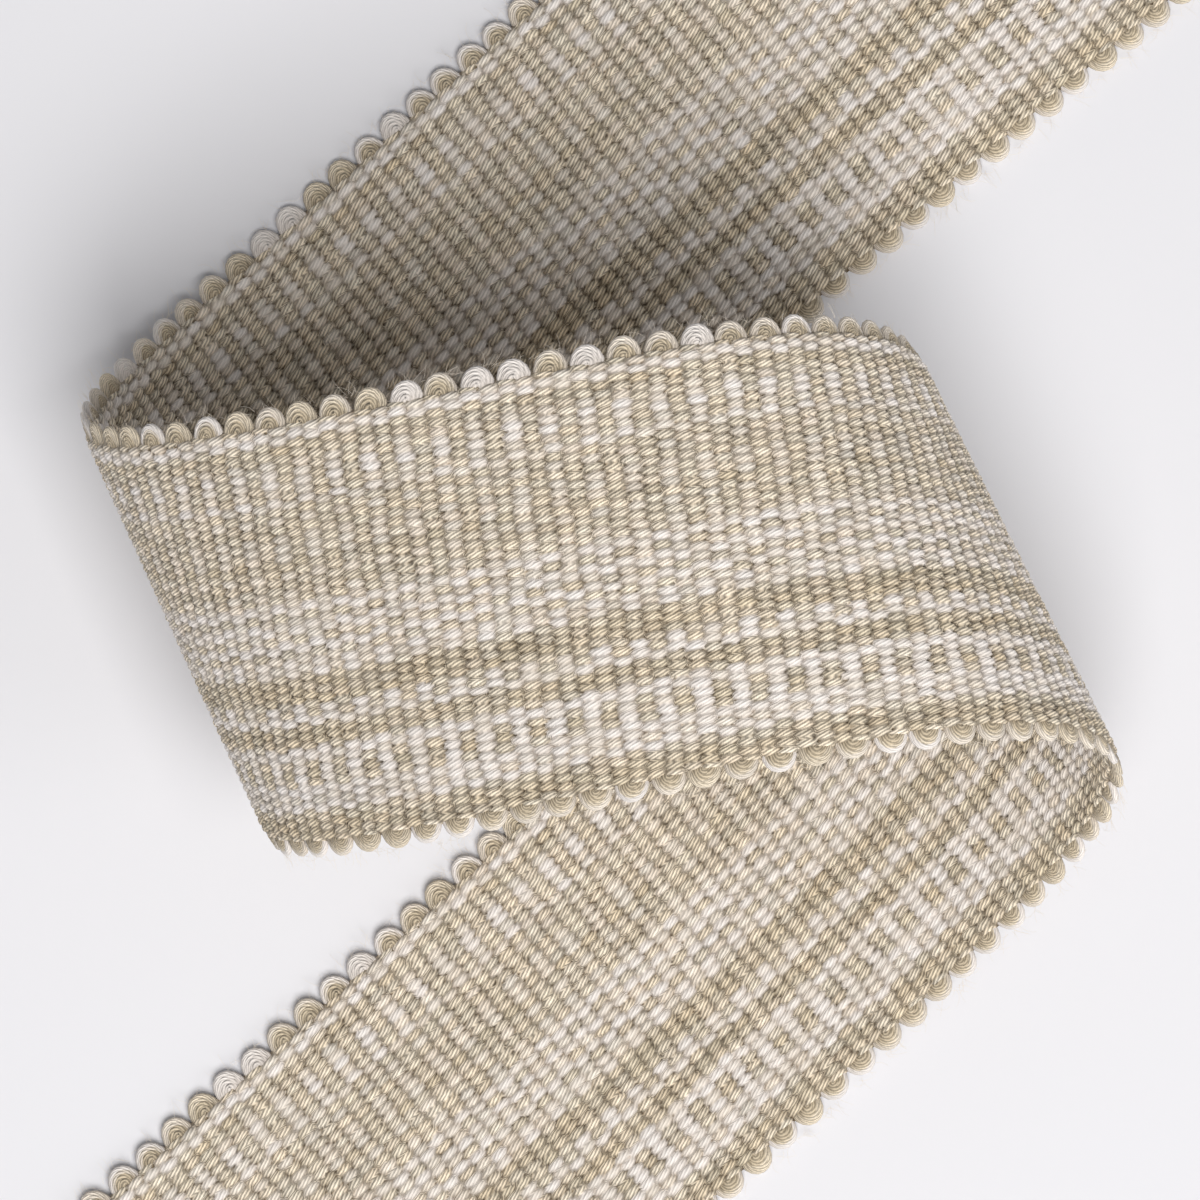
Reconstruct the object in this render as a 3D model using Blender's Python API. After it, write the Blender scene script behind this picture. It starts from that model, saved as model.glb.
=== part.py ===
"""Woven picot-edged tape, 50 mm wide: one cut length that lies flat at both ends
and rises between them in a single loose turn.

Metres, +Z up. +Y runs along the axis of the turn. The origin is the middle of the
bounding box at the height of the surface the tape lies on.
"""

import bpy
import numpy as np
from math import radians

# Weave, in millimetres
PICK_PITCH = 2.0
PICKS_PER_PICOT = 2
PICK_COUNT = 212
FIRST_EDGE_ALONG = -61.5
WEAVE_HALF_WIDTH = 22.5
PICOT_REACH = 2.5
PICOT_SHOULDER_REACH = 2.1
PICOT_NOTCH_REACH = 0.7
PICOT_HALF_THICKNESS = 0.5
LEFT_PICOT_CENTRE = 2.5
RIGHT_PICOT_CENTRE = 0.5
RIB_HALF_THICKNESS = 0.9
VALLEY_HALF_THICKNESS = 0.62
INNER_LINE = 7.5

# Lie of the tape, in millimetres
RIB_FADE_HEIGHT = 5.0
HELIX_ANGLE = radians(16.5)
PROFILE_STEP = 0.25
SLOPE_STEP = 0.5
BOX_CENTRE_X = 28.432
BOX_CENTRE_Y = 42.441

# Heading of the tape round the turn: distance round it (mm), heading (degrees)
TURN_PROFILE = (
    (0.0, 0.0),
    (20.0, 2.0),
    (40.0, 20.0),
    (60.0, 48.0),
    (80.0, 91.0),
    (100.0, 133.0),
    (120.0, 170.0),
    (140.0, 190.0),
    (160.0, 206.0),
    (180.0, 231.0),
    (200.0, 280.0),
    (220.0, 326.0),
    (240.0, 360.0),
)

# Slight wander of the two edges from a true cylinder:
# distance along the tape, left edge x, left edge y, right edge x, right edge y (mm)
EDGE_WANDER = (
    (-60.0, 0.6, -0.1, 0.6, -0.5),
    (0.0, 0.3, -0.5, 0.4, -0.1),
    (60.0, -0.7, 0.0, 0.0, 0.6),
    (120.0, -0.1, 0.3, -0.6, 1.1),
    (180.0, 0.2, -0.9, -0.6, -0.4),
    (240.0, 0.8, 1.1, -0.6, 0.2),
    (300.0, 0.2, 1.0, -0.5, 0.4),
    (360.0, -0.1, -0.7, -0.1, -1.5),
)

LINEN = (0.66, 0.57, 0.44, 1.0)
MILLIMETRE = 0.001


def smooth_lookup(table, column, at):
    """Smooth curve through one column of a table, by its first column."""
    rows = np.array(table)
    x, y = rows[:, 0], rows[:, column]
    slope = np.gradient(y, x)
    at = np.clip(at, x[0], x[-1])
    i = np.clip(np.searchsorted(x, at) - 1, 0, len(x) - 2)
    gap = x[i + 1] - x[i]
    t = (at - x[i]) / gap
    start = (1 + 2 * t) * (1 - t) ** 2 * y[i] + t * (1 - t) ** 2 * gap * slope[i]
    end = t * t * (3 - 2 * t) * y[i + 1] - t * t * (1 - t) * gap * slope[i + 1]
    return start + end


def turn_section():
    """Distance round the turn and the section's x and height, ending back on the flat."""
    length = TURN_PROFILE[-1][0]
    steps = int(round(length / PROFILE_STEP))
    around = np.linspace(0.0, length, steps + 1)
    heading = np.radians(smooth_lookup(TURN_PROFILE, 1, around))
    step = around[1]
    forward, rise = np.cos(heading), np.sin(heading)
    x = np.concatenate(([0.0], np.cumsum((forward[1:] + forward[:-1]) / 2 * step)))
    z = np.concatenate(([0.0], np.cumsum((rise[1:] + rise[:-1]) / 2 * step)))
    share = around / length
    z -= z[-1] * share ** 2 * (3 - 2 * share)
    return around, x, z


def middle_surface(along, across, section):
    """Points of the tape's middle layer for distances along and across it."""
    around, section_x, section_z = section
    cos_angle, sin_angle = np.cos(HELIX_ANGLE), np.sin(HELIX_ANGLE)
    s = along * cos_angle - across * sin_angle
    y = along * sin_angle + across * cos_angle
    x = np.interp(s, around, section_x)
    x = x + np.minimum(s, 0.0) + np.maximum(s - around[-1], 0.0)
    z = np.interp(s, around, section_z) + RIB_HALF_THICKNESS
    left = 0.5 + across / (2 * WEAVE_HALF_WIDTH)
    right = 1.0 - left
    x = x + left * smooth_lookup(EDGE_WANDER, 1, along)
    x = x + right * smooth_lookup(EDGE_WANDER, 3, along)
    y = y + left * smooth_lookup(EDGE_WANDER, 2, along)
    y = y + right * smooth_lookup(EDGE_WANDER, 4, along)
    return np.stack((x - BOX_CENTRE_X, y - BOX_CENTRE_Y, z), axis=-1)


def surface_normals(along, across, section):
    """Unit normals of the middle layer, upward where the tape lies flat."""
    d_along = middle_surface(along + SLOPE_STEP, across, section)
    d_along = d_along - middle_surface(along - SLOPE_STEP, across, section)
    d_across = middle_surface(along, across + SLOPE_STEP, section)
    d_across = d_across - middle_surface(along, across - SLOPE_STEP, section)
    normal = np.cross(d_along, d_across)
    return normal / np.linalg.norm(normal, axis=-1, keepdims=True)


def picot_reach(along, centre):
    """How far the edge loops stand out beyond the weave, by distance along the tape."""
    pitch = PICK_PITCH * PICKS_PER_PICOT
    from_centre = np.abs((along - centre + pitch / 2) % pitch - pitch / 2)
    distances = (0.0, pitch / 4, pitch / 2)
    reaches = (PICOT_REACH, PICOT_SHOULDER_REACH, PICOT_NOTCH_REACH)
    return np.interp(from_centre, distances, reaches)


def tape_rings():
    """Rings of points across the tape: valley and rib of every pick."""
    section = turn_section()
    station = np.arange(2 * PICK_COUNT + 1)
    along = FIRST_EDGE_ALONG + station * PICK_PITCH / 2
    is_rib = station % 2 == 1
    half = np.where(is_rib, RIB_HALF_THICKNESS, VALLEY_HALF_THICKNESS)
    left_tip = WEAVE_HALF_WIDTH + picot_reach(along, LEFT_PICOT_CENTRE)
    right_tip = -WEAVE_HALF_WIDTH - picot_reach(along, RIGHT_PICOT_CENTRE)
    level = np.ones_like(along)
    across = np.stack(
        (
            left_tip,
            WEAVE_HALF_WIDTH * level,
            INNER_LINE * level,
            -INNER_LINE * level,
            -WEAVE_HALF_WIDTH * level,
            right_tip,
        ),
        axis=1,
    )
    lines = across.shape[1]
    alongs = np.repeat(along[:, None], lines, axis=1)
    middle = middle_surface(alongs, across, section)
    normal = surface_normals(alongs, across, section)
    upper = np.repeat(half[:, None], lines, axis=1)
    lifted = np.clip((middle[..., 2] - RIB_HALF_THICKNESS) / RIB_FADE_HEIGHT, 0.0, 1.0)
    lifted = lifted * lifted * (3 - 2 * lifted)
    lower = RIB_HALF_THICKNESS + (upper - RIB_HALF_THICKNESS) * lifted
    for edge in (0, lines - 1):
        upper[:, edge] = PICOT_HALF_THICKNESS
        lower[:, edge] = PICOT_HALF_THICKNESS
    top = middle + normal * upper[..., None]
    bottom = middle - normal * lower[..., None]
    bottom[..., 2] = np.maximum(bottom[..., 2], 0.0)
    return np.concatenate((top, bottom[:, ::-1]), axis=1) * MILLIMETRE


def loft_mesh(name, rings):
    """Closed mesh through a list of rings with plain flat ends."""
    count, size = rings.shape[:2]
    faces = []
    for i in range(count - 1):
        for j in range(size):
            k = (j + 1) % size
            a, b = i * size + j, i * size + k
            c, d = (i + 1) * size + k, (i + 1) * size + j
            faces.append((a, b, c))
            faces.append((a, c, d))
    half = size // 2
    for base, flip in ((0, True), ((count - 1) * size, False)):
        for j in range(half - 1):
            a, b = base + j, base + j + 1
            c, d = base + size - 2 - j, base + size - 1 - j
            for corners in ((a, b, c), (a, c, d)):
                faces.append(corners[::-1] if flip else corners)
    mesh = bpy.data.meshes.new(name)
    mesh.from_pydata(rings.reshape(-1, 3).tolist(), [], faces)
    mesh.validate()
    mesh.update()
    for polygon in mesh.polygons:
        polygon.use_smooth = True
    return mesh


def linen_material(name):
    material = bpy.data.materials.new(name)
    material.use_nodes = True
    shader = material.node_tree.nodes["Principled BSDF"]
    shader.inputs["Base Color"].default_value = LINEN
    shader.inputs["Roughness"].default_value = 0.9
    return material


def clear_scene():
    for item in list(bpy.data.objects):
        bpy.data.objects.remove(item, do_unlink=True)


def build():
    clear_scene()
    group = bpy.data.collections.new("picot_tape_trim")
    bpy.context.scene.collection.children.link(group)
    mesh = loft_mesh("tape", tape_rings())
    mesh.materials.append(linen_material("woven_yarn"))
    tape = bpy.data.objects.new("tape", mesh)
    group.objects.link(tape)


build()
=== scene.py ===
"""Visual model of the woven picot-edged tape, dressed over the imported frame.

Every float of the warp and every edge loop of the weft is modelled in relief, on the
same middle surface as the solid. Working lengths are in millimetres.
"""

import bpy
import numpy as np
from math import radians, cos, sin, pi
from mathutils import Matrix, Vector


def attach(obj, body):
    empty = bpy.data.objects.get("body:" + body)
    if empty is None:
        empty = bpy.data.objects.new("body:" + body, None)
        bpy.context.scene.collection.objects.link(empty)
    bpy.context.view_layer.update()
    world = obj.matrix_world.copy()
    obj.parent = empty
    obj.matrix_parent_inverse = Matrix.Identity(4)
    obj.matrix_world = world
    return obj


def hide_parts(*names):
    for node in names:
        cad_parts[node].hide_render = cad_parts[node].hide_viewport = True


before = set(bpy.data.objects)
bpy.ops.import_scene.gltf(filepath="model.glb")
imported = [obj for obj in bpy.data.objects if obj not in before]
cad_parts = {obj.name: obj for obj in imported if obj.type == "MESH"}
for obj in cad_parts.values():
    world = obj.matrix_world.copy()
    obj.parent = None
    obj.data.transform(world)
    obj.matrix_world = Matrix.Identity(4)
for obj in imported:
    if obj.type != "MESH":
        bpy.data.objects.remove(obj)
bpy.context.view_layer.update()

MILLIMETRE = 0.001

# Weave, as in the solid
PICK_PITCH = 2.0
PICK_COUNT = 212
FIRST_EDGE_ALONG = -61.5
LAST_EDGE_ALONG = FIRST_EDGE_ALONG + PICK_PITCH * PICK_COUNT
WEAVE_HALF_WIDTH = 22.5
PICOT_PITCH = 4.0
LEFT_PICOT_CENTRE = 2.5
RIGHT_PICOT_CENTRE = 0.5
RIB_HALF_THICKNESS = 0.9

# Lie of the tape, as in the solid
HELIX_ANGLE = radians(16.5)
PROFILE_STEP = 0.25
SLOPE_STEP = 0.5
BOX_CENTRE_X = 28.432
BOX_CENTRE_Y = 42.441

# Heading of the tape round the turn: distance round it (mm), heading (degrees)
TURN_PROFILE = (
    (0.0, 0.0),
    (20.0, 2.0),
    (40.0, 20.0),
    (60.0, 48.0),
    (80.0, 91.0),
    (100.0, 133.0),
    (120.0, 170.0),
    (140.0, 190.0),
    (160.0, 206.0),
    (180.0, 231.0),
    (200.0, 280.0),
    (220.0, 326.0),
    (240.0, 360.0),
)

# Slight wander of the two edges from a true cylinder:
# distance along the tape, left edge x, left edge y, right edge x, right edge y (mm)
EDGE_WANDER = (
    (-60.0, 0.6, -0.1, 0.6, -0.5),
    (0.0, 0.3, -0.5, 0.4, -0.1),
    (60.0, -0.7, 0.0, 0.0, 0.6),
    (120.0, -0.1, 0.3, -0.6, 1.1),
    (180.0, 0.2, -0.9, -0.6, -0.4),
    (240.0, 0.8, 1.1, -0.6, 0.2),
    (300.0, 0.2, 1.0, -0.5, 0.4),
    (360.0, -0.1, -0.7, -0.1, -1.5),
)

# Relief of the weave
FLOAT_PITCH = 1.0
FLOAT_HALF_LENGTH = 1.15
FLOAT_HALF_WIDTH = 0.60
RECESS_HEIGHT = 0.26
EDGE_OVERHANG = 0.3
EDGE_ROLL = 0.9
CUT_ROLL = 0.7
CELLS_PER_PICK = 6
CELLS_PER_FLOAT = 4
FACE_CLEARANCE = 0.02
STRAND_CLEARANCE = 0.03

# Rows of floats: the outermost row of each set, and what tells set two's rows apart
SET_ONE_FIRST_ROW = 22.0
SET_TWO_FIRST_ROW = 22.5
SET_TWO_NUMBER = 100.0

# Seeds of the small variations on each face
FRONT_SALT = 3
BACK_SALT = 11

# Where the faces are split into pieces, along the tape
FRONT_SPLITS = (FIRST_EDGE_ALONG, 80.5, 222.5, LAST_EDGE_ALONG)
TURN_START_ALONG = -13.5
TURN_MIDDLE_ALONG = 125.5
TURN_END_ALONG = 262.5

# Warp chart from the left edge to the right edge: yarn, floats.
# The first set shows on one pick and the second on the next.
WARP_SET_ONE = (
    ("mixed", 1), ("white", 1), ("flax", 1), ("linen", 5), ("mixed", 1),
    ("linen", 5), ("flax", 1), ("linen", 4), ("white", 1), ("linen", 1),
    ("white", 1), ("mixed", 1), ("white", 1), ("linen", 1), ("white", 2),
    ("flax", 3), ("white", 2), ("linen", 1), ("flax", 1), ("linen", 1),
    ("white", 1), ("linen", 1), ("flax", 1), ("linen", 1), ("white", 1),
    ("mixed", 1), ("white", 1), ("linen", 1), ("flax", 2),
)
WARP_SET_TWO = (
    ("linen", 1), ("white", 1), ("linen", 2), ("mixed", 1), ("white", 2),
    ("mixed", 1), ("white", 1), ("linen", 1), ("mixed", 1), ("linen", 1),
    ("mixed", 3), ("linen", 1),
    ("mixed", 1), ("linen", 1), ("mixed", 2), ("white", 1), ("mixed", 1),
    ("white", 1), ("linen", 1), ("white", 1), ("mixed", 2), ("linen", 1),
    ("flax", 2), ("linen", 2), ("white", 1), ("flax", 2), ("white", 7),
    ("linen", 1), ("flax", 2), ("linen", 1),
)

# Yarns: crest colour (0 to 255), painted shade colour for the recesses between floats (0
# to 255), strength of the ply strokes
YARNS = {
    "white": ((244, 238, 233), (193, 181, 171), 0.42),
    "mixed": ((238, 228, 214), (144, 128, 110), 0.85),
    "linen": ((234, 221, 199), (101, 86, 65), 1.25),
    "flax": ((222, 207, 181), (86, 71, 51), 1.3),
}

# Picots
PICOT_STRANDS = (
    # half width, reach, radius
    (1.64, 2.44, 0.38),
    (1.34, 2.02, 0.46),
    (1.00, 1.56, 0.56),
    (0.60, 1.06, 0.62),
)
PICOT_ROOT = 21.55
PICOT_END_MARGIN = 2.0
REACH_STRETCH = 1.06
RIGHT_REACH_SHARE = 0.9
STRAND_STEPS = 10
STRAND_SIDES = 6
STRAND_WRAP = 2.4

# Yarn of the loops on the left edge over the top of the turn, from this loop on
LEFT_SHOW_START = 28
LEFT_SHOW = "lmmmwmmwlwwlwlllmlmlmll"
SHOW_YARNS = {"w": "white", "l": "linen", "m": "mixed"}
WHITE_SHARE = 0.16
MIXED_SHARE = 0.44

# Loose fibres
FIBRE_COUNT = 1500
FIBRE_SEED = 7
FIBRE_STEPS = 6
FIBRE_SIDES = 3
FIBRE_RADIUS = 0.019
FIBRE_START_ACROSS = 24.1
FIBRE_MAX_REACH = 2.4

# Hidden middle layer
CORE_HALF_THICKNESS = 0.2
CORE_INSET = 0.4
CORE_COLUMNS = 10

# Camera
FRAME_WIDTH_AT_TARGET = 134.8
CAMERA_DISTANCE = 1014.0
CAMERA_TARGET = (-5.477, 0.809, 0.0)
CAMERA_TURN = radians(25.788)
CAMERA_TILT = radians(5.649)
CAMERA_SIDE_TILT = radians(-1.974)
SENSOR_WIDTH = 36.0

# Light and floor, in metres
SOFTBOX_COLOUR = (1.0, 0.985, 0.965)
FLOOR_SIZE = 6.0
FLOOR_HEIGHT = -0.0002


# ---------------------------------------------------------------- middle surface

def smooth_lookup(table, column, at):
    """Smooth curve through one column of a table, by its first column."""
    rows = np.array(table)
    x, y = rows[:, 0], rows[:, column]
    slope = np.gradient(y, x)
    at = np.clip(at, x[0], x[-1])
    i = np.clip(np.searchsorted(x, at) - 1, 0, len(x) - 2)
    gap = x[i + 1] - x[i]
    t = (at - x[i]) / gap
    start = (1 + 2 * t) * (1 - t) ** 2 * y[i] + t * (1 - t) ** 2 * gap * slope[i]
    end = t * t * (3 - 2 * t) * y[i + 1] - t * t * (1 - t) * gap * slope[i + 1]
    return start + end


def turn_section():
    """Distance round the turn and the section's x and height, ending back on the flat."""
    length = TURN_PROFILE[-1][0]
    steps = int(round(length / PROFILE_STEP))
    around = np.linspace(0.0, length, steps + 1)
    heading = np.radians(smooth_lookup(TURN_PROFILE, 1, around))
    step = around[1]
    forward, rise = np.cos(heading), np.sin(heading)
    x = np.concatenate(([0.0], np.cumsum((forward[1:] + forward[:-1]) / 2 * step)))
    z = np.concatenate(([0.0], np.cumsum((rise[1:] + rise[:-1]) / 2 * step)))
    share = around / length
    z -= z[-1] * share ** 2 * (3 - 2 * share)
    return around, x, z


SECTION = turn_section()


def middle_surface(along, across):
    """Points of the tape's middle layer for distances along and across it."""
    around, section_x, section_z = SECTION
    cos_angle, sin_angle = np.cos(HELIX_ANGLE), np.sin(HELIX_ANGLE)
    s = along * cos_angle - across * sin_angle
    y = along * sin_angle + across * cos_angle
    x = np.interp(s, around, section_x)
    x = x + np.minimum(s, 0.0) + np.maximum(s - around[-1], 0.0)
    z = np.interp(s, around, section_z) + RIB_HALF_THICKNESS
    left = 0.5 + across / (2 * WEAVE_HALF_WIDTH)
    right = 1.0 - left
    x = x + left * smooth_lookup(EDGE_WANDER, 1, along)
    x = x + right * smooth_lookup(EDGE_WANDER, 3, along)
    y = y + left * smooth_lookup(EDGE_WANDER, 2, along)
    y = y + right * smooth_lookup(EDGE_WANDER, 4, along)
    return np.stack((x - BOX_CENTRE_X, y - BOX_CENTRE_Y, z), axis=-1)


def surface_normals(along, across):
    """Unit normals of the middle layer, upward where the tape lies flat."""
    d_along = middle_surface(along + SLOPE_STEP, across)
    d_along = d_along - middle_surface(along - SLOPE_STEP, across)
    d_across = middle_surface(along, across + SLOPE_STEP)
    d_across = d_across - middle_surface(along, across - SLOPE_STEP)
    normal = np.cross(d_along, d_across)
    return normal / np.linalg.norm(normal, axis=-1, keepdims=True)


# ---------------------------------------------------------------- small helpers

def scatter(a, b, salt):
    """Repeatable number from 0 to 1 for a pair of whole numbers."""
    value = np.sin(a * 12.9898 + b * 78.233 + salt * 37.719) * 43758.5453
    return value - np.floor(value)


def drift(along, across, salt):
    """Slow smooth variation from -1 to 1."""
    total = np.sin(along * 0.11 + across * 0.37 + salt * 1.7)
    total = total + np.sin(along * 0.043 - across * 0.81 + salt * 2.9)
    total = total + np.sin(along * 0.27 + across * 0.19 + salt * 4.1)
    return total / 3.0


def linear(colour):
    """Linear light from a display colour of 0 to 255."""
    c = np.array(colour, dtype=float) / 255.0
    return np.where(c <= 0.04045, c / 12.92, ((c + 0.055) / 1.055) ** 2.4)


YARN_NAMES = tuple(YARNS)
CREST = np.array([linear(YARNS[n][0]) for n in YARN_NAMES])
# painted shade: each yarn's colour deep in the recesses between floats
RECESS_SHADE = np.array([linear(YARNS[n][1]) for n in YARN_NAMES])
STROKE = np.array([YARNS[n][2] for n in YARN_NAMES])


def chart_row(runs):
    """One yarn number per float, from the runs of a warp set."""
    row = []
    for yarn, count in runs:
        row.extend([YARN_NAMES.index(yarn)] * count)
    return np.array(row)


CHART_ONE = chart_row(WARP_SET_ONE)
CHART_TWO = chart_row(WARP_SET_TWO)


def grid_faces(rows, columns, flip):
    """Quads of a grid of points, as an array of corner numbers."""
    i, j = np.meshgrid(np.arange(rows - 1), np.arange(columns - 1), indexing="ij")
    a = (i * columns + j).ravel()
    corners = np.stack((a, a + columns, a + columns + 1, a + 1), axis=1)
    return corners[:, ::-1] if flip else corners


def mesh_object(name, points, faces, uv, colour, stroke, material):
    """Smooth mesh of quads with its weave coordinates, yarn colour with painted recess
    shade, and ply strength.
    """
    mesh = bpy.data.meshes.new(name)
    count, loops = len(points), faces.size
    mesh.vertices.add(count)
    mesh.vertices.foreach_set("co", (points * MILLIMETRE).astype(np.float32).ravel())
    mesh.loops.add(loops)
    mesh.loops.foreach_set("vertex_index", faces.astype(np.int32).ravel())
    mesh.polygons.add(len(faces))
    starts = np.arange(0, loops, faces.shape[1], dtype=np.int32)
    mesh.polygons.foreach_set("loop_start", starts)
    mesh.polygons.foreach_set("use_smooth", np.ones(len(faces), dtype=bool))
    mesh.update(calc_edges=True)
    layer = mesh.uv_layers.new(name="weave")
    layer.data.foreach_set("uv", uv[faces.ravel()].astype(np.float32).ravel())
    shade = mesh.color_attributes.new("yarn_colour_and_shade", "FLOAT_COLOR", "POINT")
    rgba = np.concatenate((colour, np.ones((count, 1))), axis=1)
    shade.data.foreach_set("color", rgba.astype(np.float32).ravel())
    ply = mesh.attributes.new("ply_strength", "FLOAT", "POINT")
    ply.data.foreach_set("value", stroke.astype(np.float32))
    mesh.materials.append(material)
    item = bpy.data.objects.new(name, mesh)
    bpy.context.scene.collection.objects.link(item)
    return item


# ---------------------------------------------------------------- weave relief

def nearest_float(along, across, parity, first_row, chart):
    """Nearest float of the picks of one parity: pick, row, offsets from its middle."""
    pick = (along - FIRST_EDGE_ALONG) / PICK_PITCH - 0.5
    pick = 2 * np.round((pick - parity) / 2) + parity
    pick = np.clip(pick, parity, PICK_COUNT - 2 + parity)
    row = np.clip(np.round(first_row - across), 0, len(chart) - 1)
    centre = FIRST_EDGE_ALONG + (pick + 0.5) * PICK_PITCH
    return pick, row, along - centre, across - (first_row - row)


def float_height(pick, row, du, dv, salt):
    """Height share of one float, from 0 in the recess to 1 on its crest."""
    half_length = FLOAT_HALF_LENGTH * (0.94 + 0.12 * scatter(pick, row, salt))
    half_width = FLOAT_HALF_WIDTH * (0.94 + 0.12 * scatter(pick, row, salt + 1))
    inside = 1.0 - np.abs(du / half_length) ** 2.0 - np.abs(dv / half_width) ** 2.1
    crest = 0.9 + 0.1 * scatter(pick, row, salt + 2)
    return crest * np.sqrt(np.maximum(inside, 0.0))


def weave_at(along, across, is_back, salt):
    """The float that shows at each point: height share, pick, row, yarn, set number."""
    parity_one, parity_two = (1, 0) if is_back else (0, 1)
    one = nearest_float(along, across, parity_one, SET_ONE_FIRST_ROW, CHART_ONE)
    two = nearest_float(along, across, parity_two, SET_TWO_FIRST_ROW, CHART_TWO)
    height_one = float_height(*one, salt)
    height_two = float_height(*two, salt)
    first = height_one >= height_two
    height = np.where(first, height_one, height_two)
    pick = np.where(first, one[0], two[0])
    row = np.where(first, one[1], two[1])
    yarn_one = CHART_ONE[one[1].astype(int)]
    yarn_two = CHART_TWO[two[1].astype(int)]
    yarn = np.where(first, yarn_one, yarn_two)
    return height, pick, row, yarn, np.where(first, 0.0, SET_TWO_NUMBER)


def float_colours(along, height, pick, row, yarn, set_number, salt):
    """Yarn colour from a painted shade in the recess to the crest colour, with slubs and a
    change from float to float.
    """
    is_white = yarn == YARN_NAMES.index("white")
    mixed = YARN_NAMES.index("mixed")
    warp_end = row + set_number
    # some floats of every yarn carry fibres of the mixed one
    blend = scatter(pick, warp_end, salt + 9) ** 1.6
    blend = (blend * np.where(is_white, 0.85, 0.45))[..., None]
    crest = CREST[yarn] + (CREST[mixed] - CREST[yarn]) * blend
    recess = RECESS_SHADE[yarn] + (RECESS_SHADE[mixed] - RECESS_SHADE[yarn]) * blend
    # painted shade: the colour darkens from the crest colour to the recess shade colour as
    # the float's height share falls
    depth = np.clip(height, 0.0, 1.0)[..., None] ** 1.1
    colour = recess + (crest - recess) * depth
    slub = drift(along * 0.9 + row * 5.3, row * 3.7 + set_number, salt + 2)
    single = scatter(pick, warp_end, salt + 6) - 0.5
    amount = np.where(is_white, 0.35, 1.0)
    tone = 1.0 + amount * (0.10 * slub + 0.16 * single)
    colour = colour * tone[..., None]
    warm = 1.0 + amount * 0.05 * (scatter(pick, warp_end, salt + 7) - 0.5)
    colour[..., 0] *= warm
    colour[..., 2] /= warm
    return np.clip(colour, 0.0, 1.0)


def relief_patch(name, start, end, is_back, coarseness, material):
    """Relief surface of one face of the tape between two distances along it."""
    side, salt = (-1.0, BACK_SALT) if is_back else (1.0, FRONT_SALT)
    step_along = coarseness * PICK_PITCH / CELLS_PER_PICK
    step_across = coarseness * FLOAT_PITCH / CELLS_PER_FLOAT
    rows = int(round((end - start) / step_along)) + 1
    line = start + np.arange(rows) * step_along
    inner = int(round(2 * WEAVE_HALF_WIDTH / step_across)) + 1
    brim = WEAVE_HALF_WIDTH + EDGE_OVERHANG
    spread = WEAVE_HALF_WIDTH - np.arange(inner) * step_across
    spread = np.concatenate(([brim], spread, [-brim]))
    along, across = np.meshgrid(line, spread, indexing="ij")

    # threads wander a little from their straight rows
    bent_along = along + 0.22 * drift(across * 6.0, along, salt)
    bent_across = across + 0.10 * drift(along * 2.0, across * 0.7, salt + 5)
    weave = weave_at(bent_along, bent_across, is_back, salt)
    height, pick, row, yarn, set_number = weave

    # roll down to the middle at both edges and at the cut ends
    lift = RECESS_HEIGHT + (RIB_HALF_THICKNESS - RECESS_HEIGHT) * height
    edge = np.clip((brim - np.abs(across)) / EDGE_ROLL, 0.0, 1.0)
    cut = np.clip((along - FIRST_EDGE_ALONG) / CUT_ROLL, 0.0, 1.0)
    cut = np.minimum(cut, np.clip((LAST_EDGE_ALONG - along) / CUT_ROLL, 0.0, 1.0))
    lift = lift * np.sqrt(edge * (2 - edge)) * np.sqrt(cut * (2 - cut))
    middle = middle_surface(along, across)
    normal = surface_normals(along, across)
    points = middle + normal * (side * lift)[..., None]
    if is_back:
        points[..., 2] = np.maximum(points[..., 2], FACE_CLEARANCE)

    shift = scatter(pick, row + set_number, salt + 8) * 2.0
    uv = np.stack((along * -side, across + shift), axis=-1)
    return mesh_object(
        name,
        points.reshape(-1, 3),
        grid_faces(rows, len(spread), not is_back),
        uv.reshape(-1, 2),
        float_colours(along, *weave, salt).reshape(-1, 3),
        STROKE[yarn].ravel(),
        material,
    )


# ---------------------------------------------------------------- picots and fibres

def tube_ring(path, radius, sides):
    """Rings of points round a path with a radius for each point of it."""
    ahead = np.gradient(path, axis=0)
    ahead /= np.linalg.norm(ahead, axis=1, keepdims=True)
    up = np.array([0.0, 0.0, 1.0]) + 0.001
    side = np.cross(ahead, up)
    side /= np.linalg.norm(side, axis=1, keepdims=True)
    lift = np.cross(side, ahead)
    turn = np.arange(sides) * 2 * pi / sides
    ring = side[:, None, :] * np.cos(turn)[None, :, None]
    ring = ring + lift[:, None, :] * np.sin(turn)[None, :, None]
    return path[:, None, :] + ring * radius[:, None, None]


def tube_faces(steps, sides):
    """Quads of a tube."""
    faces = []
    for i in range(steps - 1):
        for j in range(sides):
            k = (j + 1) % sides
            near, far = i * sides, (i + 1) * sides
            faces.append((near + j, near + k, far + k, far + j))
    return np.array(faces)


def tubes_object(name, tubes, material):
    """One mesh of many equal tubes: rings, weave coordinates, colours, ply strengths."""
    rings, uv, colour, stroke = (np.stack(part) for part in zip(*tubes))
    count, steps, sides = rings.shape[:3]
    first_corners = np.arange(count) * steps * sides
    faces = tube_faces(steps, sides)[None] + first_corners[:, None, None]
    return mesh_object(
        name,
        rings.reshape(-1, 3),
        faces.reshape(-1, 4),
        uv.reshape(-1, 2),
        np.clip(colour, 0.0, 1.0).reshape(-1, 3),
        stroke.ravel(),
        material,
    )


def picot_yarn(number, edge):
    """Yarn of one loop: charted over the top of the turn, otherwise one in six white."""
    shown = number - LEFT_SHOW_START
    if edge > 0 and 0 <= shown < len(LEFT_SHOW):
        return SHOW_YARNS[LEFT_SHOW[shown]]
    pick = scatter(number, edge * 3.0, 21)
    if pick < WHITE_SHARE:
        return "white"
    return "mixed" if pick < WHITE_SHARE + MIXED_SHARE else "linen"


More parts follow.
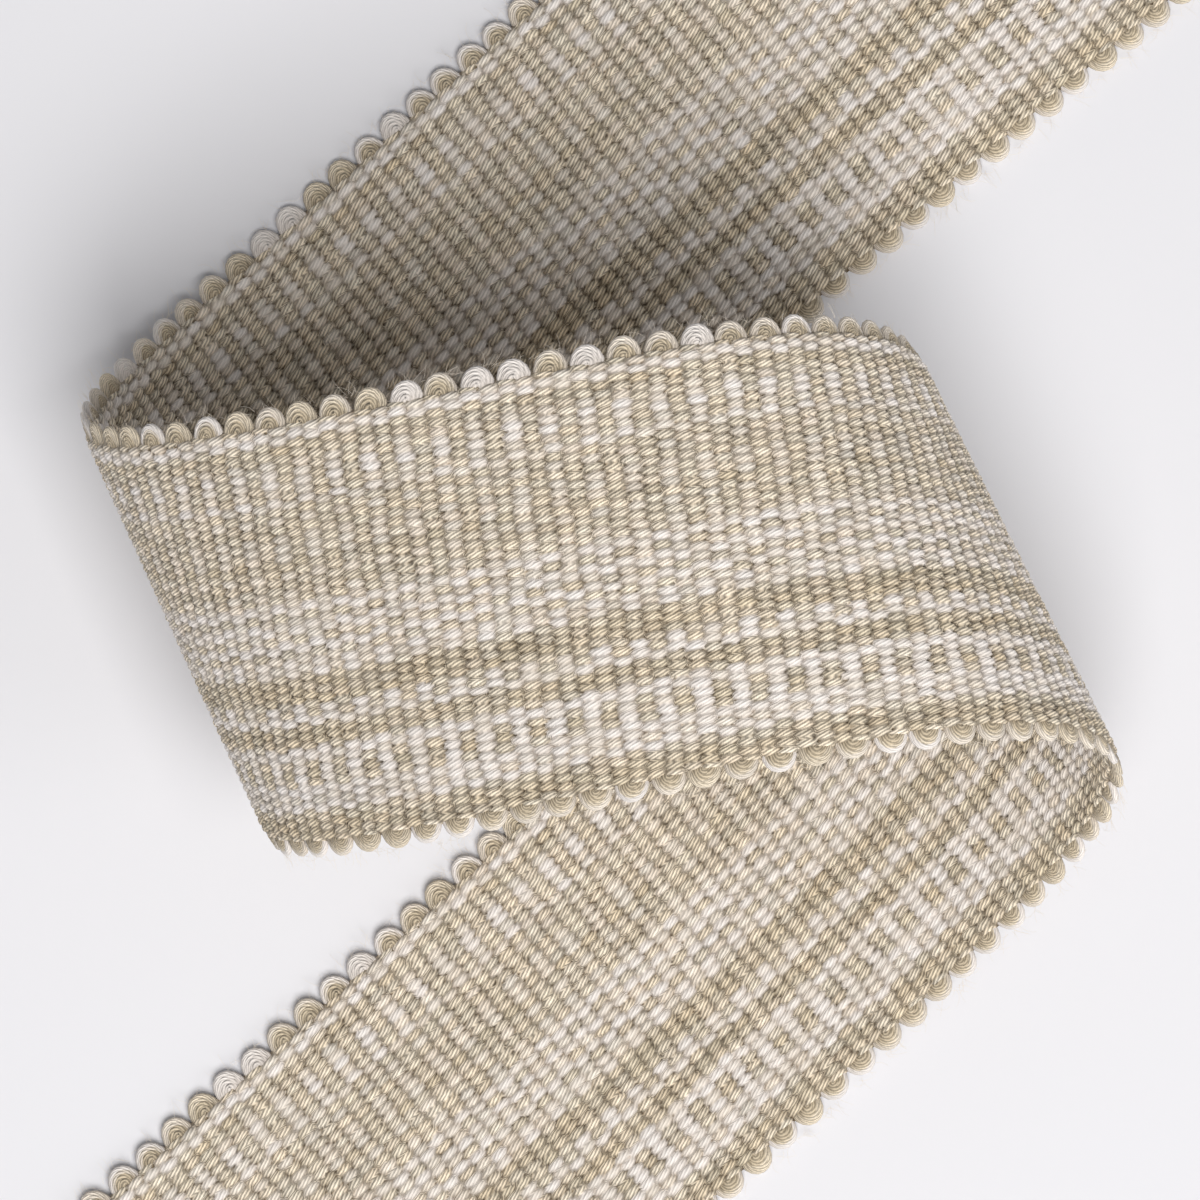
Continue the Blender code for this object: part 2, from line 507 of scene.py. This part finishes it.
def strand_yarn(number, edge, strand, loop_yarn):
    """Yarn number of one strand of a loop: the inner strands are the darker ones."""
    if strand > 1 and (edge < 0.0 or loop_yarn != "white"):
        return YARN_NAMES.index("flax")
    if strand > 0 and edge < 0.0:
        return YARN_NAMES.index("linen")
    use = YARN_NAMES.index(loop_yarn)
    if strand == 0 and scatter(number, edge, 36) < 0.45:
        use = max(0, use - 1)
    return use


def picot_edge(name, edge, material):
    """All loops of one edge: strands of the weft arching side by side, as one mesh."""
    centre0 = LEFT_PICOT_CENTRE if edge > 0 else RIGHT_PICOT_CENTRE
    reach_share = 1.0 if edge > 0.0 else RIGHT_REACH_SHARE
    start = FIRST_EDGE_ALONG + PICOT_END_MARGIN
    end = LAST_EDGE_ALONG - PICOT_END_MARGIN
    first = int(np.ceil((start - centre0) / PICOT_PITCH))
    last = int(np.floor((end - centre0) / PICOT_PITCH))
    angle = np.linspace(0.0, pi, STRAND_STEPS)
    turn = np.arange(STRAND_SIDES) / STRAND_SIDES * STRAND_WRAP
    turn = np.minimum(turn, STRAND_WRAP - turn) * 1.6
    tubes = []
    for number in range(first, last + 1):
        centre = centre0 + number * PICOT_PITCH
        centre += 0.22 * (scatter(number, edge, 31) - 0.5)
        yarn = picot_yarn(number, edge)
        size = 0.94 + 0.10 * scatter(number, edge, 32)
        lean = 0.30 * (scatter(number, edge, 33) - 0.5)
        lift = 0.16 * (scatter(number, edge, 34) - 0.5)
        for strand, (half_width, reach, radius) in enumerate(PICOT_STRANDS):
            out = np.sin(angle) ** 0.8 * reach * size * reach_share
            along = centre - np.cos(angle) * half_width
            along = along + lean * out / PICOT_STRANDS[0][1]
            across = edge * (PICOT_ROOT + EDGE_OVERHANG + out * REACH_STRETCH)
            bulge = lift * np.sin(angle)
            path = middle_surface(along, across)
            path = path + surface_normals(along, across) * bulge[:, None]
            width = radius * (0.90 + 0.12 * np.sin(angle))
            width = width * (0.95 + 0.1 * scatter(number, strand, 35))
            rings = tube_ring(path, width, STRAND_SIDES)
            rings[..., 2] = np.maximum(rings[..., 2], STRAND_CLEARANCE)
            steps = np.linalg.norm(np.diff(path, axis=0), axis=1)
            run = np.concatenate(([0.0], np.cumsum(steps)))
            round_strand = turn[None, :] + strand * 0.7 + number
            uv = np.stack(np.broadcast_arrays(run[:, None], round_strand), axis=-1)
            use = strand_yarn(number, edge, strand, yarn)
            # painted shade: strands darken toward their root in the weave, and the inner
            # strands are darker still
            shade = np.clip(0.35 + 0.65 * out / reach - 0.1 * strand, 0.0, 1.0)
            shade = shade[:, None, None] * np.ones((1, STRAND_SIDES, 1))
            colour = RECESS_SHADE[use] + (CREST[use] - RECESS_SHADE[use]) * shade
            colour = colour * (0.93 + 0.12 * scatter(number, strand, 37))
            stroke = np.full((STRAND_STEPS, STRAND_SIDES), STROKE[use] * 0.8)
            tubes.append((rings, uv, colour, stroke))
    return tubes_object(name, tubes, material)


def loose_fibres(name, material):
    """Fine fibres that stand out of both edges of the tape."""
    grid = (FIBRE_STEPS, FIBRE_SIDES)
    uv, stroke = np.zeros(grid + (2,)), np.zeros(grid)
    colour = np.broadcast_to(CREST[YARN_NAMES.index("mixed")], grid + (3,))
    share = np.linspace(0.0, 1.0, FIBRE_STEPS)
    radius = FIBRE_RADIUS * (1.0 - 0.5 * share)
    generator = np.random.default_rng(FIBRE_SEED)
    tubes = []
    for _ in range(FIBRE_COUNT):
        edge = 1.0 if generator.random() < 0.5 else -1.0
        start = generator.uniform(FIRST_EDGE_ALONG + 3, LAST_EDGE_ALONG - 3)
        length = generator.uniform(0.6, 2.3)
        heading = generator.uniform(-1.3, 1.3)
        curl = generator.uniform(-1.5, 1.5)
        angle = heading + curl * share
        step = length / (FIBRE_STEPS - 1)
        along = start + np.cumsum(np.sin(angle)) * step
        out = np.cumsum(np.cos(angle)) * step
        across = edge * (FIBRE_START_ACROSS + np.minimum(out, FIBRE_MAX_REACH))
        rise = generator.uniform(-0.5, 0.7) * share ** 1.3 * length * 0.5
        path = middle_surface(along, across)
        path = path + surface_normals(along, across) * rise[:, None]
        rings = tube_ring(path, radius, FIBRE_SIDES)
        rings[..., 2] = np.maximum(rings[..., 2], STRAND_CLEARANCE)
        tubes.append((rings, uv, colour, stroke))
    return tubes_object(name, tubes, material)


def core_layer(name, material):
    """Thin closed layer in the middle of the tape, hidden between its two faces."""
    start, end = FIRST_EDGE_ALONG + CORE_INSET, LAST_EDGE_ALONG - CORE_INSET
    line = np.linspace(start, end, PICK_COUNT + 1)
    spread = np.linspace(WEAVE_HALF_WIDTH, -WEAVE_HALF_WIDTH, CORE_COLUMNS)
    along, across = np.meshgrid(line, spread, indexing="ij")
    middle = middle_surface(along, across)
    offset = surface_normals(along, across) * CORE_HALF_THICKNESS
    top, bottom = middle + offset, middle - offset
    rings = np.concatenate((top, bottom[:, ::-1]), axis=1)
    rows, size = rings.shape[:2]
    faces = tube_faces(rows, size)
    caps = []
    for base, flip in ((0, True), ((rows - 1) * size, False)):
        for j in range(size // 2 - 1):
            quad = (base + j, base + j + 1, base + size - 2 - j, base + size - 1 - j)
            caps.append(quad[::-1] if flip else quad)
    faces = np.concatenate((faces, np.array(caps)))
    count = rows * size
    return mesh_object(
        name,
        rings.reshape(-1, 3),
        faces,
        np.zeros((count, 2)),
        # painted shade: the hidden layer takes the linen yarn's recess shade colour
        np.tile(RECESS_SHADE[YARN_NAMES.index("linen")], (count, 1)),
        np.zeros(count),
        material,
    )


# ---------------------------------------------------------------- materials

def yarn_material():
    """Spun yarn: colour from the weave with its painted recess shade, fine diagonal plies,
    stray fibres, matt finish.
    """
    material = bpy.data.materials.new("spun_yarn")
    material.use_nodes = True
    nodes, links = material.node_tree.nodes, material.node_tree.links
    shader = nodes["Principled BSDF"]
    shader.inputs["Roughness"].default_value = 0.88
    shader.inputs["Specular IOR Level"].default_value = 0.22
    shader.inputs["Sheen Weight"].default_value = 0.12
    shader.inputs["Sheen Roughness"].default_value = 0.45

    colour = nodes.new("ShaderNodeAttribute")
    colour.attribute_name = "yarn_colour_and_shade"
    strength = nodes.new("ShaderNodeAttribute")
    strength.attribute_name = "ply_strength"
    uv = nodes.new("ShaderNodeUVMap")
    uv.uv_map = "weave"

    # plies: bands that cross the float at a shallow angle
    lay = nodes.new("ShaderNodeMapping")
    lay.inputs["Rotation"].default_value = (0.0, 0.0, radians(-68.0))
    links.new(uv.outputs["UV"], lay.inputs["Vector"])
    plies = nodes.new("ShaderNodeTexWave")
    plies.wave_type = "BANDS"
    plies.bands_direction = "X"
    plies.inputs["Scale"].default_value = 0.85
    plies.inputs["Distortion"].default_value = 1.6
    plies.inputs["Detail"].default_value = 1.0
    plies.inputs["Detail Scale"].default_value = 1.3
    links.new(lay.outputs["Vector"], plies.inputs["Vector"])

    # fibres: streaks along the plies
    stretch = nodes.new("ShaderNodeMapping")
    stretch.inputs["Rotation"].default_value = (0.0, 0.0, radians(-68.0))
    stretch.inputs["Scale"].default_value = (7.0, 1.2, 1.0)
    links.new(uv.outputs["UV"], stretch.inputs["Vector"])
    fibres = nodes.new("ShaderNodeTexNoise")
    fibres.inputs["Scale"].default_value = 1.0
    fibres.inputs["Detail"].default_value = 2.0
    links.new(stretch.outputs["Vector"], fibres.inputs["Vector"])

    both = nodes.new("ShaderNodeMath")
    both.operation = "MULTIPLY_ADD"
    links.new(fibres.outputs["Fac"], both.inputs[0])
    both.inputs[1].default_value = 0.9
    links.new(plies.outputs["Fac"], both.inputs[2])

    # tone: strokes darken and lighten the yarn by its ply strength
    tone = nodes.new("ShaderNodeMapRange")
    tone.inputs["From Min"].default_value = 0.25
    tone.inputs["From Max"].default_value = 1.45
    tone.inputs["To Min"].default_value = -0.50
    tone.inputs["To Max"].default_value = 0.30
    links.new(both.outputs["Value"], tone.inputs["Value"])
    scaled = nodes.new("ShaderNodeMath")
    scaled.operation = "MULTIPLY_ADD"
    links.new(tone.outputs["Result"], scaled.inputs[0])
    links.new(strength.outputs["Fac"], scaled.inputs[1])
    scaled.inputs[2].default_value = 1.0
    shaded = nodes.new("ShaderNodeVectorMath")
    shaded.operation = "SCALE"
    links.new(colour.outputs["Color"], shaded.inputs[0])
    links.new(scaled.outputs["Value"], shaded.inputs["Scale"])
    links.new(shaded.outputs["Vector"], shader.inputs["Base Color"])

    bump = nodes.new("ShaderNodeBump")
    bump.inputs["Strength"].default_value = 0.7
    bump.inputs["Distance"].default_value = 0.00009
    links.new(both.outputs["Value"], bump.inputs["Height"])
    links.new(bump.outputs["Normal"], shader.inputs["Normal"])
    return material


def floor_material():
    """Pale matt studio surface with a barely visible tooth."""
    material = bpy.data.materials.new("pale_surface")
    material.use_nodes = True
    nodes, links = material.node_tree.nodes, material.node_tree.links
    shader = nodes["Principled BSDF"]
    shader.inputs["Base Color"].default_value = (0.80, 0.80, 0.835, 1.0)
    shader.inputs["Roughness"].default_value = 0.95
    shader.inputs["Specular IOR Level"].default_value = 0.1
    tooth = nodes.new("ShaderNodeTexNoise")
    tooth.inputs["Scale"].default_value = 900.0
    where = nodes.new("ShaderNodeTexCoord")
    links.new(where.outputs["Object"], tooth.inputs["Vector"])
    bump = nodes.new("ShaderNodeBump")
    bump.inputs["Strength"].default_value = 0.05
    bump.inputs["Distance"].default_value = 0.0001
    links.new(tooth.outputs["Fac"], bump.inputs["Height"])
    links.new(bump.outputs["Normal"], shader.inputs["Normal"])
    return material


# ---------------------------------------------------------------- scene

def photo_axes():
    """The photograph's right and up directions on the floor, and its viewing direction."""
    right = Vector((cos(CAMERA_TURN), -sin(CAMERA_TURN), 0.0))
    up = Vector((sin(CAMERA_TURN), cos(CAMERA_TURN), 0.0))
    back = Vector((0.0, 0.0, 1.0))
    tilted_up = up * cos(CAMERA_TILT) + back * sin(CAMERA_TILT)
    tilted_back = back * cos(CAMERA_TILT) - up * sin(CAMERA_TILT)
    tilted_right = right * cos(CAMERA_SIDE_TILT) - tilted_back * sin(CAMERA_SIDE_TILT)
    view_back = tilted_back * cos(CAMERA_SIDE_TILT) + right * sin(CAMERA_SIDE_TILT)
    return tilted_right, tilted_up, view_back


def add_camera():
    right, up, back = photo_axes()
    data = bpy.data.cameras.new("photo_camera")
    data.sensor_width = SENSOR_WIDTH
    data.lens = SENSOR_WIDTH * CAMERA_DISTANCE / FRAME_WIDTH_AT_TARGET
    data.clip_start, data.clip_end = 0.05, 20.0
    camera = bpy.data.objects.new("photo_camera", data)
    place = (Vector(CAMERA_TARGET) + back * CAMERA_DISTANCE) * MILLIMETRE
    basis = Matrix((right, up, back)).transposed().to_4x4()
    camera.matrix_world = Matrix.Translation(place) @ basis
    bpy.context.scene.collection.objects.link(camera)
    bpy.context.scene.camera = camera


def add_area(name, direction, distance, size, power, colour):
    """Square softbox facing the tape, its direction given on the photograph's axes."""
    right, up, back = photo_axes()
    towards = right * direction[0] + up * direction[1] + back * direction[2]
    towards.normalize()
    data = bpy.data.lights.new(name, "AREA")
    data.shape, data.size = "SQUARE", size
    data.energy, data.color = power, colour
    lamp = bpy.data.objects.new(name, data)
    facing = towards.to_track_quat("Z", "Y").to_matrix().to_4x4()
    lamp.matrix_world = Matrix.Translation(towards * distance) @ facing
    bpy.context.scene.collection.objects.link(lamp)


def add_floor():
    bpy.ops.mesh.primitive_plane_add(size=FLOOR_SIZE, location=(0.0, 0.0, FLOOR_HEIGHT))
    floor = bpy.context.object
    floor.name = "studio_floor"
    floor.data.materials.append(floor_material())


def add_light():
    world = bpy.data.worlds.new("studio")
    world.use_nodes = True
    shade = world.node_tree.nodes["Background"]
    shade.inputs["Color"].default_value = (0.97, 0.98, 1.0, 1.0)
    shade.inputs["Strength"].default_value = 0.22
    bpy.context.scene.world = world
    add_area("key_softbox", (0.15, -0.40, 1.0), 1.6, 0.95, 25.0, SOFTBOX_COLOUR)
    add_area("right_softbox", (1.0, -0.25, 0.42), 1.5, 0.8, 4.5, SOFTBOX_COLOUR)
    view = bpy.context.scene.view_settings
    view.view_transform = "Standard"
    view.look = "None"
    view.exposure, view.gamma = 0.0, 1.0


def relief_pieces(prefix, splits, is_back, coarseness, material):
    """Relief pieces between neighbouring splits, numbered from 1."""
    pieces = []
    for number, (start, end) in enumerate(splits, 1):
        name = prefix + str(number)
        pieces.append(relief_patch(name, start, end, is_back, coarseness, material))
    return pieces


def build_tape():
    yarn = yarn_material()
    front = tuple(zip(FRONT_SPLITS, FRONT_SPLITS[1:]))
    back = (TURN_START_ALONG, TURN_MIDDLE_ALONG), (TURN_MIDDLE_ALONG, TURN_END_ALONG)
    under = (FIRST_EDGE_ALONG, TURN_START_ALONG), (TURN_END_ALONG, LAST_EDGE_ALONG)
    pieces = relief_pieces("front_face_", front, False, 1, yarn)
    pieces += relief_pieces("back_face_", back, True, 1, yarn)
    pieces += relief_pieces("underside_", under, True, 2, yarn)
    pieces.append(picot_edge("left_picots", 1.0, yarn))
    pieces.append(picot_edge("right_picots", -1.0, yarn))
    pieces.append(loose_fibres("loose_fibres", yarn))
    core = core_layer("tape_layer", yarn)
    for piece in pieces + [core]:
        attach(piece, "root")
        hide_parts("tape")


add_camera()
build_tape()
add_floor()
add_light()
